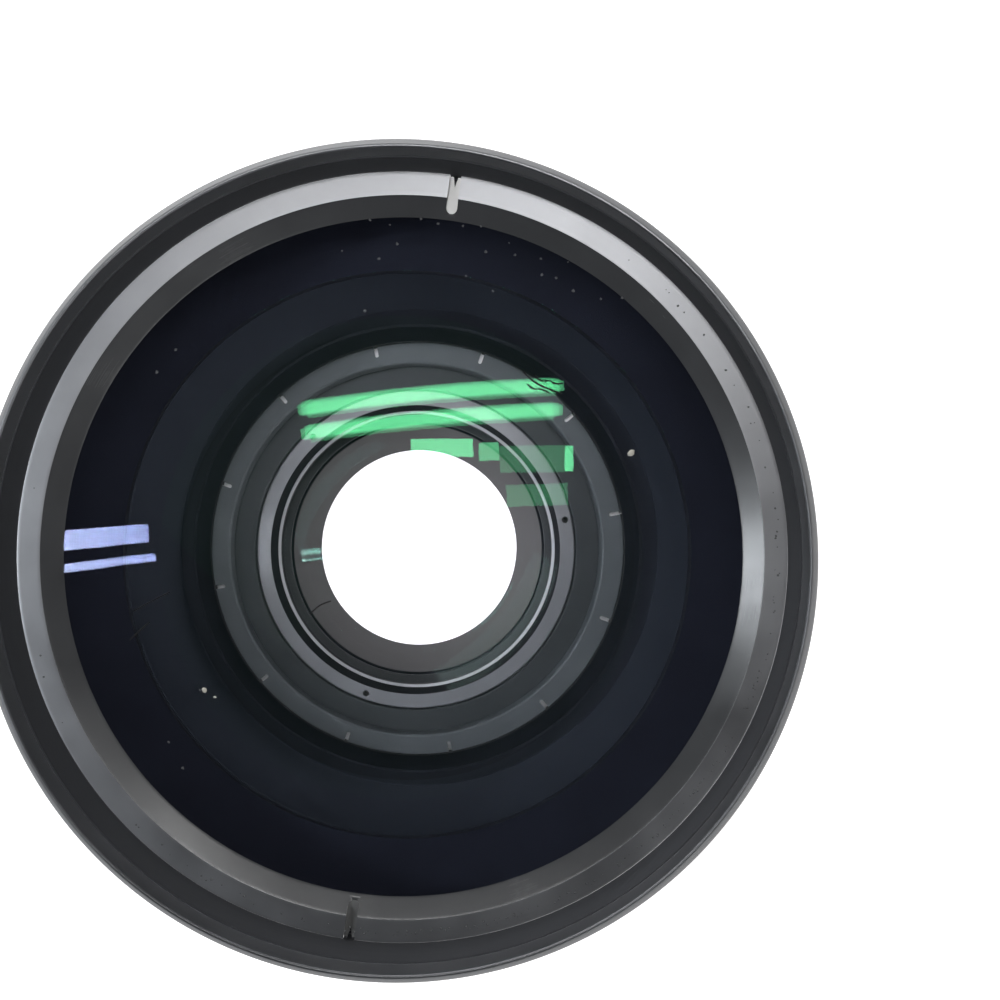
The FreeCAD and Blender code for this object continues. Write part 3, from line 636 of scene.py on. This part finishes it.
def sightLine(pixel):
    # direction from the camera through a pixel of the photograph
    focal = camera["lens"] / camera["sensor"] * camera["pixels"]
    half = camera["pixels"] / 2
    return Vector(((pixel[0] - half) / focal, (half - pixel[1]) / focal, -1)).normalized()


def frontGlassPoint(pixel):
    # the point of the front glass that is seen at a pixel, in millimetres, and its outward direction
    curve = frontGlass["frontCurve"]
    centre = Vector((0, 0, glassTop - curve))
    sight = sightLine(pixel)
    offset = Vector(camera["place"]) / mm - centre
    reach = offset.dot(sight)
    point = centre + offset - sight * (reach + math.sqrt(reach ** 2 - offset.length_squared + curve ** 2))
    return point, (point - centre).normalized()


def mirroredPlace(pixel, axis, level):
    # where a lamp is, at a level along an axis, whose reflection in the front glass is seen at a pixel
    point, outward = frontGlassPoint(pixel)
    sight = sightLine(pixel)
    ray = sight - 2 * sight.dot(outward) * outward
    return point * mm + ray * ((level - point[axis] * mm) / ray[axis])


# dust and lint lie where the photograph shows them, by pixel; grime sits where the ring meets the bezel
frontDust = dict(
    grey=[(390, 225), (397, 244), (342, 251), (379, 259), (463, 226), (438, 224), (509, 243), (486, 252),
          (515, 255), (541, 259), (568, 262), (542, 275), (556, 278), (466, 276), (493, 291), (573, 291),
          (601, 299), (622, 298), (370, 220), (421, 219), (481, 226), (365, 311), (176, 350), (157, 372),
          (200, 690), (169, 742), (183, 768)],
    pale=[(205, 690), (215, 697)], fluff=[(631, 453)],
    greySize=(0.13, 0.24), paleSize=(0.22, 0.4), fluffSize=(0.5, 0.52), seed=7,
    lint=[[(523, 372), (531, 380), (541, 386), (551, 390), (562, 394)],
          [(535, 375), (540, 382), (549, 380), (556, 385), (563, 383)],
          [(527, 384), (533, 390), (541, 388), (549, 393)],
          [(310, 614), (317, 607), (324, 603), (331, 601)], [(134, 611), (146, 604), (160, 597), (170, 592)],
          [(130, 640), (139, 631), (150, 622)]],
    lintThick=0.18,
)
rimGrime = dict(amount=150, reach=(46.8, 47.45), size=(0.06, 0.16), middleAngle=-55, spread=50, seed=3)
crumbs = dict(uneven=(0.6, 1.3), flatness=0.45, lift=0.25)


def addCrumb(shape, point, outward, size, chance):
    # a crumb of dust pressed on a surface
    verts = bmesh.ops.create_icosphere(shape, subdivisions=1, radius=size * mm)["verts"]
    for vert in verts:
        vert.co *= chance.uniform(*crumbs["uneven"])
        vert.co.z *= crumbs["flatness"]
    place = Matrix.Translation((point + outward * size * crumbs["lift"]) * mm)
    turn = outward.to_track_quat("Z", "Y").to_matrix().to_4x4()
    bmesh.ops.transform(shape, matrix=place @ turn, verts=verts)


def loosePiece(name, mesh, finish):
    # a piece that stands for no node
    mesh.materials.append(finish)
    piece = newObject(name, mesh)
    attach(piece, "root")


def crumbPiece(name, shape, finish):
    mesh = bpy.data.meshes.new(name)
    shape.to_mesh(mesh)
    shape.free()
    mesh.shade_smooth()
    loosePiece(name, mesh, finish)


def buildDust(size):
    chance = random.Random(size["seed"])
    for name, finish in (("grey", dustGrey), ("pale", dustPale), ("fluff", dustPale)):
        shape = bmesh.new()
        for pixel in size[name]:
            point, outward = frontGlassPoint(pixel)
            addCrumb(shape, point, outward, chance.uniform(*size[f"{name}Size"]), chance)
        crumbPiece(f"front_dust_{name}", shape, finish)


def buildGrime(size):
    chance = random.Random(size["seed"])
    shape = bmesh.new()
    for _ in range(size["amount"]):
        angle = math.radians(chance.gauss(size["middleAngle"], size["spread"]))
        radius = chance.uniform(*size["reach"])
        point = Vector((radius * math.cos(angle), radius * math.sin(angle), ringTop))
        addCrumb(shape, point, Vector((0, 0, 1)), chance.uniform(*size["size"]), chance)
    crumbPiece("rim_grime", shape, dustGrey)


def buildLint(size):
    # threads that lie on the glass, made as curves and kept as one mesh
    thread = bpy.data.curves.new("lint_path", "CURVE")
    thread.dimensions = "3D"
    thread.bevel_depth = size["lintThick"] / 2 * mm
    thread.bevel_resolution = 1
    for pixels in size["lint"]:
        spline = thread.splines.new("NURBS")
        spline.points.add(len(pixels) - 1)
        for end, pixel in zip(spline.points, pixels):
            point, outward = frontGlassPoint(pixel)
            end.co = (*((point + outward * size["lintThick"] / 2) * mm), 1)
        spline.order_u = 3
        spline.use_endpoint_u = True
    path = bpy.data.objects.new("lint_path", thread)
    mesh = bpy.data.meshes.new_from_object(path)
    bpy.data.objects.remove(path)
    loosePiece("front_lint", mesh, lintAndShade)


buildDust(frontDust)
buildGrime(rimGrime)
buildLint(frontDust)
print("dust made")


mainBarrel = dict(cellBore=30.05, lockBore=35.35, baffleBore=37.55, lensBore=44.9, lensShoulder=29.7,
                  rearRadius=35.0, rearLength=5.6, rearEdge=0.5, coneTop=25.6, grooveRadius=47.8,
                  shoulder=36.025, spigot=47.5, cellShoulder=17.2, neckRound=0.5, coneRound=0.35,
                  gripEdge=0.12, shoulderEdge=0.15)


def buildBarrel(size):
    corners = [
        (size["cellBore"], barrelBottom),
        (size["rearRadius"] - size["rearEdge"], barrelBottom, softBreak),
        (size["rearRadius"], barrelBottom + size["rearEdge"], softBreak),
        (size["rearRadius"], barrelBottom + size["rearLength"], size["neckRound"]),
        (barrelRadius, size["coneTop"], size["coneRound"]),
        (barrelRadius, gripBottom - slack, size["gripEdge"]),
        (size["grooveRadius"], gripBottom - slack, softBreak),
        (size["grooveRadius"], gripTop + slack, softBreak),
        (barrelRadius, gripTop + slack, size["gripEdge"]),
        (barrelRadius, size["shoulder"], size["shoulderEdge"]),
        (size["spigot"], size["shoulder"], fineBreak),
        (size["spigot"], barrelTop),
        (size["lensBore"], barrelTop),
        (size["lensBore"], size["lensShoulder"]),
        (size["baffleBore"], size["lensShoulder"]),
        (size["baffleBore"], lockTop),
        (size["lockBore"], lockTop),
        (size["lockBore"], size["cellShoulder"]),
        (size["cellBore"], size["cellShoulder"]),
    ]
    piece = turnedPiece("main_barrel_turned", corners, [blackAnodised])
    settle(piece, "black_anodised", "main_barrel")


# a rib's side leans by slope; it is edgeDrop under the top at wallTop of it, and reaches the top at ribStart
gripRing = dict(bore=47.82, edge=0.6, ribs=60, gap=1.3, gapDepth=0.7, slope=0.12, edgeDrop=0.08,
                wallTop=0.7, ribStart=1.6, topPoints=(0.3, 0.5, 0.7), edgeSteps=4)


def buildGrip(size):
    # ribs stand between moulded gaps whose sides lean a little
    stations = []
    floorRadius = gripRadius - size["gapDepth"]
    edgeRadius = gripRadius - size["edgeDrop"]
    ribStep = 2 * math.pi / size["ribs"]
    half = size["gap"] / 2 / gripRadius
    lean = size["slope"] / gripRadius
    top = ribStep - 2 * (half + lean)
    wallTop = half + lean * size["wallTop"]
    ribStart = half + lean * size["ribStart"]
    for rib in range(size["ribs"]):
        middle = rib * ribStep
        nextMiddle = middle + ribStep
        stations += [(middle - half, floorRadius), (middle, floorRadius), (middle + half, floorRadius)]
        stations += [(middle + wallTop, edgeRadius), (middle + ribStart, gripRadius)]
        stations += [(middle + half + lean + top * part, gripRadius) for part in size["topPoints"]]
        stations += [(nextMiddle - ribStart, gripRadius), (nextMiddle - wallTop, edgeRadius)]
    rows = []
    edge = size["edge"]
    for step in range(size["edgeSteps"] + 1):
        angle = math.pi / 2 * step / size["edgeSteps"]
        rows.append((edge * (1 - math.sin(angle)), gripBottom + edge * (1 - math.cos(angle))))
    rows += [(inset, gripBottom + gripTop - height) for inset, height in rows[::-1]]
    points, faces = [], []
    for angle, radius in stations:
        column = [(size["bore"], gripBottom)]
        column += [(min(radius, gripRadius - inset), height) for inset, height in rows]
        column += [(size["bore"], gripTop)]
        points += [(r * math.cos(angle), r * math.sin(angle), z) for r, z in column]
    count = len(rows) + 2
    for index in range(len(stations)):
        here, there = index * count, (index + 1) % len(stations) * count
        for row in range(count):
            after = (row + 1) % count
            faces.append((here + row, there + row, there + after, here + after))
    piece = makePiece("grip_ring_ribbed", points, faces, [gripRubber])
    tidyMesh(piece)
    settle(piece, "grip_rubber", "grip_ring")


innerBaffle = dict(lowBore=35.45, midBore=35.95, topBore=36.9, midRise=4.6)


def buildBaffle(size):
    corners = [
        (size["lowBore"], baffleBottom, fineBreak),
        (baffleRadius, baffleBottom),
        (baffleRadius, baffleTop),
        (size["topBore"], baffleTop, smallBreak),
        (size["midBore"], baffleBottom + size["midRise"], fineBreak),
        (size["lowBore"], baffleBottom + size["midRise"], fineBreak),
    ]
    piece = turnedPiece("inner_baffle_painted", corners, [blackPaintAndShade])
    settle(piece, "baffle_paint", "inner_baffle")


buildBarrel(mainBarrel)
buildGrip(gripRing)
buildBaffle(innerBaffle)
print("body made")


lockRing = dict(bore=31.4, chamfer=0.25, slots=12, slotInner=33.1, slotWidth=0.6, slotDepth=0.9,
                slotAngle=10.5)


def buildLockRing(size):
    chamfer = size["chamfer"]
    corners = [
        (size["bore"], lockBottom),
        (lockRadius, lockBottom),
        (lockRadius, lockTop - chamfer, smallBreak),
        (lockRadius - chamfer, lockTop, smallBreak),
        (size["bore"] + chamfer, lockTop, smallBreak),
        (size["bore"], lockTop - chamfer, smallBreak),
    ]
    piece = turnedPiece("rear_lock_ring_turned", corners, [lockBlack])
    slot = roundSlot(size["slotInner"], lockRadius + overcut, size["slotWidth"])
    floor = lockTop - size["slotDepth"]
    cutters = []
    for n in range(size["slots"]):
        angle = size["slotAngle"] + 360 * n / size["slots"]
        cutters.append(prismCutter(slot, floor, lockTop + overcut, angle, bareMetal))
    carve(piece, cutters)
    settle(piece, "cell_black", "rear_lock_ring")


rearCell = dict(lip=23.35, lensBore=25.05, threadBore=27.5, outer=30.0, flangeThick=3.0, lipHeight=1.2,
                shoulder=14.515, threadEdge=0.12)


def buildCell(size):
    corners = [
        (size["lip"], cellBottom, smallBreak),
        (size["outer"], cellBottom),
        (size["outer"], cellTop - size["flangeThick"]),
        (cellRadius, cellTop - size["flangeThick"]),
        (cellRadius, cellTop),
        (size["threadBore"], cellTop, size["threadEdge"]),
        (size["threadBore"], size["shoulder"], fineBreak),
        (size["lensBore"], size["shoulder"], fineBreak),
        (size["lensBore"], cellBottom + size["lipHeight"], fineBreak),
        (size["lip"], cellBottom + size["lipHeight"], smallBreak),
    ]
    piece = turnedPiece("rear_cell_turned", corners, [cellBlack])
    settle(piece, "cell_black", "rear_cell")


rearRing = dict(bore=24.8, lipBore=24.3, lip=0.5, chamfer=0.25, boreBreak=0.05, boreCorner=0.02, pins=3,
                pinCircle=26.2, pinHole=0.55, pinDepth=1.5, pinAngle=11.5)


def buildRearRing(size):
    chamfer = size["chamfer"]
    corners = [
        (size["lipBore"], rearRingBottom, smallBreak),
        (rearRingRadius, rearRingBottom),
        (rearRingRadius, rearRingTop - chamfer, smallBreak),
        (rearRingRadius - chamfer, rearRingTop, smallBreak),
        (size["bore"] + size["boreBreak"], rearRingTop, size["boreCorner"]),
        (size["bore"], rearRingTop - size["boreBreak"], size["boreCorner"]),
        (size["bore"], rearRingBottom + size["lip"], smallBreak),
        (size["lipBore"] + chamfer, rearRingBottom + size["lip"], fineBreak),
        (size["lipBore"], rearRingBottom + size["lip"] - chamfer, fineBreak),
    ]
    # the bore is matt black paint, painted shade in the gap inside the ring; the lip and its chamfer are the
    # lighter satin, a painted highlight line
    sides = [0, 0, 0, 0, 1, 1, 2, 2, 1]
    piece = turnedPiece("rear_retaining_ring_turned", corners, [rearSatin, blackPaintAndShade, lipSatinAndHighlight], sides)
    cutters = []
    for pin in range(size["pins"]):
        place = placed(size["pinCircle"], size["pinAngle"] + 360 / size["pins"] * pin, rearRingTop)
        cutters.append(holeCutter(size["pinHole"], size["pinDepth"], place, boreBlack))
    carve(piece, cutters)
    settle(piece, "satin_ring", "rear_retaining_ring")


cementedPair = dict(crownCurve=85.0, cementCurve=85.0, flintCurve=423.0, flintMiddle=2.5, joint=0.02)


def buildPair(size):
    # a hair of space at the cement keeps the two faces apart for the light
    cementVertex = flintBottom + size["flintMiddle"]
    crown = domePoints(crownRadius, crownTop, size["crownCurve"], True)
    crownBack = domePoints(crownRadius, cementVertex + size["joint"], size["cementCurve"], False)
    sides = [0] * (len(crown) - 1) + [2] + [1] * len(crownBack)
    finishes = [crownCoat, crownCement, groundEdge]
    crownGlass = turnedPiece("rear_crown_glass", crown + crownBack[::-1], finishes, sides)
    crownGlass.visible_shadow = False
    settle(crownGlass, "lens_glass", "rear_crown")
    flint = domePoints(flintRadius, cementVertex - size["joint"], size["cementCurve"], False)
    flintBack = domePoints(flintRadius, flintBottom, size["flintCurve"], False)
    sides = [1] * (len(flint) - 1) + [2] + [0] * len(flintBack)
    finishes = [flintCoat, flintCement, groundEdge]
    flintGlass = turnedPiece("rear_flint_glass", flint + flintBack[::-1], finishes, sides)
    flintGlass.visible_shadow = False
    settle(flintGlass, "lens_glass", "rear_flint")


# flank is how steep the thread's sides are, and crest how wide its top is
rearMount = dict(threadRadius=29.0, threadLength=4.0, pitch=0.75, threadDepth=0.42, rowsPerTurn=8,
                 flank=1.25, crest=0.1, lead=0.5, leadBreak=0.06, runOut=0.5, flangeChamfer=0.4,
                 exitBore=18.1, coneTop=22.85, screws=4, screwCircle=32.3, shank=1.05, shankDepth=4.0,
                 sink=1.95, sinkDepth=0.35)


def buildMount(size):
    major, length, pitch = size["threadRadius"], size["threadLength"], size["pitch"]
    rows = int(length / pitch * size["rowsPerTurn"])
    threadRows = [(major, length * row / rows, 0) for row in range(1, rows)]
    corners = [(size["exitBore"], 0, softBreak), (major - size["lead"], 0, softBreak)]
    corners += threadRows
    corners += [
        (major, length, 0),
        (mountRadius - size["flangeChamfer"], length, softBreak),
        (mountRadius, length + size["flangeChamfer"], softBreak),
        (mountRadius, mountTop),
        (size["coneTop"], mountTop, softBreak),
    ]
    inside = major - size["lead"] - size["leadBreak"]
    outside = major + size["leadBreak"]

    def threaded(radius, height, angle):
        # the thread runs round the mount below its flange, with a lead-in and a run-out
        if radius < inside or radius > outside or height <= size["leadBreak"]:
            return radius
        turns = height / pitch - angle / (2 * math.pi)
        wave = abs(2 * (turns - math.floor(turns)) - 1)
        depth = size["threadDepth"] * min(1.0, max(0.0, wave * size["flank"] - size["crest"]))
        fadeOut = min(1.0, max(0.0, (length - height) / size["runOut"]))
        leadIn = size["lead"] * max(0.0, 1 - height / size["lead"])
        return major - max(depth * fadeOut, leadIn)

    # the face under the cell gets the matt black paint, painted shade in the gap between the cell's lip and
    # the mount, and the bore that closes the outline is plain black
    sides = [0] * (len(corners) - 2) + [1, 2]
    finishes = [blackAnodised, blackPaintAndShade, boreBlack]
    piece = turnedPiece("rear_mount_threaded", corners, finishes, sides, threaded)
    cutters = []
    for screw in range(size["screws"]):
        place = placed(size["screwCircle"], 360 / size["screws"] * screw, length)
        for part in ("shank", "sink"):
            cutters.append(holeCutter(size[part], size[part + "Depth"], place, blackAnodised))
    carve(piece, cutters)
    settle(piece, "black_anodised", "rear_mount")


buildLockRing(lockRing)
buildCell(rearCell)
buildRearRing(rearRing)
buildPair(cementedPair)
buildMount(rearMount)
print("rear group made")


# these pieces keep their shape from the frame and get a finish alone
keptNodes = {"front_gasket": sealRubber, "rear_gasket": sealRubber, "front_shim": shimPlastic}
keptNodes.update({f"mount_screw_{n + 1}": screwSteel for n in range(rearMount["screws"])})
keptNodes.update({f"bezel_grub_{n + 1}": screwSteel for n in range(frontBezel["grubs"])})
for node, material in keptNodes.items():
    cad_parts[node].data.materials.clear()
    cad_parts[node].data.materials.append(material)


studio = dict(floorSize=3.0, floorDrop=0.00002, floorGlow=1.2, floorColour=(0.3, 0.3, 0.3),
              floorRoughness=0.6, roomColour=(0.85, 0.92, 1.0), roomGlow=0.03)


def buildFloor(size):
    half = size["floorSize"] / 2
    drop = size["floorDrop"]
    mesh = bpy.data.meshes.new("light_table")
    corners = [(-half, -half, -drop), (half, -half, -drop), (half, half, -drop), (-half, half, -drop)]
    mesh.from_pydata(corners, [], [(0, 1, 2, 3)])
    material, _, shader = newMaterial("light_table_white")
    shader.inputs["Base Color"].default_value = colour(*size["floorColour"])
    shader.inputs["Roughness"].default_value = size["floorRoughness"]
    shader.inputs["Emission Color"].default_value = colour(1, 1, 1)
    shader.inputs["Emission Strength"].default_value = size["floorGlow"]
    mesh.materials.append(material)
    newObject("light_table", mesh)


lensFront = Vector((0, 0, 0.045))  # where the lamps aim


def addLamp(name, place, turn, width, height, radiance, tone=(1, 1, 1)):
    # a flat lamp; radiance is the brightness of its face
    data = bpy.data.lights.new(name, "AREA")
    data.shape = "RECTANGLE"
    data.size = width
    data.size_y = height
    data.energy = radiance * math.pi * width * height
    data.color = tone
    lamp = newObject(name, data)
    lamp.matrix_world = Matrix.Translation(place) @ turn.to_4x4()


def softLight(name, direction, distance, width, height, radiance):
    # a soft lamp that faces the lens from a direction
    place = Vector(direction).normalized() * distance + lensFront
    turn = (lensFront - place).to_track_quat("-Z", "Y").to_matrix()
    addLamp(name, place, turn, width, height, radiance)


def tubeLight(name, start, end, width, radiance, tone):
    # a long lamp between two places, facing the lens
    middle = (start + end) / 2
    along = (end - start).normalized()
    back = (middle - lensFront).normalized()
    turn = Matrix((along, back.cross(along).normalized(), back)).transposed()
    addLamp(name, middle, turn, (end - start).length, width, radiance, tone)


# lamps as their reflections lie in the front glass: start and end pixel, thickness in pixels and glow;
# tubes and panels overhead, a window with two panes to the left;
# soft lamps by direction from the lens, distance, width, height and glow
lights = dict(
    ceiling=0.245,
    overhead=[("tube_far_core", (297, 410), (563, 386), 10, 6),
              ("tube_far_body", (301, 409), (559, 386), 14, 5.5),
              ("tube_far_edge", (306, 409), (554, 387), 18, 3.5),
              ("tube_near_core", (300, 434), (562, 410), 10, 6),
              ("tube_near_body", (304, 433), (558, 410), 14, 5.5),
              ("tube_near_edge", (309, 433), (553, 411), 18, 3.5),
              ("panel_near", (411, 448), (473, 448), 18, 13), ("panel_slant", (479, 452), (499, 451), 18, 8),
              ("panel_wide", (500, 459), (572, 459), 27, 2.5), ("panel_end", (569, 446), (569, 471), 8, 12),
              ("panel_low", (507, 496), (567, 494), 22, 2.5)],
    wall=-0.7,
    window=[("pane_wide", (72, 540), (136, 534), 21, 70), ("pane_narrow", (72, 568), (142, 558), 9, 70)],
    paneTone=(0.9, 0.95, 1.0),
    soft=[("beyond_top", (-0.45, 1.0, 0.0), 0.9, 1.2, 0.12, 20),
          ("low_right", (0.7, -0.6, 0.52), 0.9, 1.2, 0.35, 3),
          ("soft_overhead", (-0.25, 0.3, 1.0), 1.2, 1.2, 0.9, 0.03)],
)


def reflectedLamps(lamps, axis, level, tone=(1, 1, 1)):
    for name, start, end, thickness, glow in lamps:
        along = Vector(end) - Vector(start)
        across = Vector(start) + Vector((-along.y, along.x)).normalized() * thickness
        first, last, side = (mirroredPlace(pixel, axis, level) for pixel in (start, end, across))
        tubeLight(name, first, last, (side - first).length, glow, tone)


def buildLights(size):
    # the ceiling is a height, on axis 2, and the window's wall is to the left, on axis 0
    reflectedLamps(size["overhead"], 2, size["ceiling"])
    reflectedLamps(size["window"], 0, size["wall"], size["paneTone"])
    for lamp in size["soft"]:
        softLight(*lamp)


def buildRoom(size):
    world = bpy.data.worlds.new("studio_room")
    bpy.context.scene.world = world
    world.use_nodes = True
    background = world.node_tree.nodes["Background"]
    background.inputs[0].default_value = colour(*size["roomColour"])
    background.inputs[1].default_value = size["roomGlow"]


def buildCamera(size):
    data = bpy.data.cameras.new("camera")
    data.lens = size["lens"]
    data.sensor_width = size["sensor"]
    data.sensor_fit = "HORIZONTAL"
    data.clip_start = size["near"]
    data.clip_end = size["far"]
    eye = newObject("camera", data)
    eye.location = size["place"]
    bpy.context.scene.camera = eye


buildFloor(studio)
buildLights(lights)
buildRoom(studio)
buildCamera(camera)
bpy.context.scene.view_settings.view_transform = "Standard"
bpy.context.scene.cycles.sample_clamp_indirect = 0  # small lamps keep their full brightness in the glass
print("studio made")
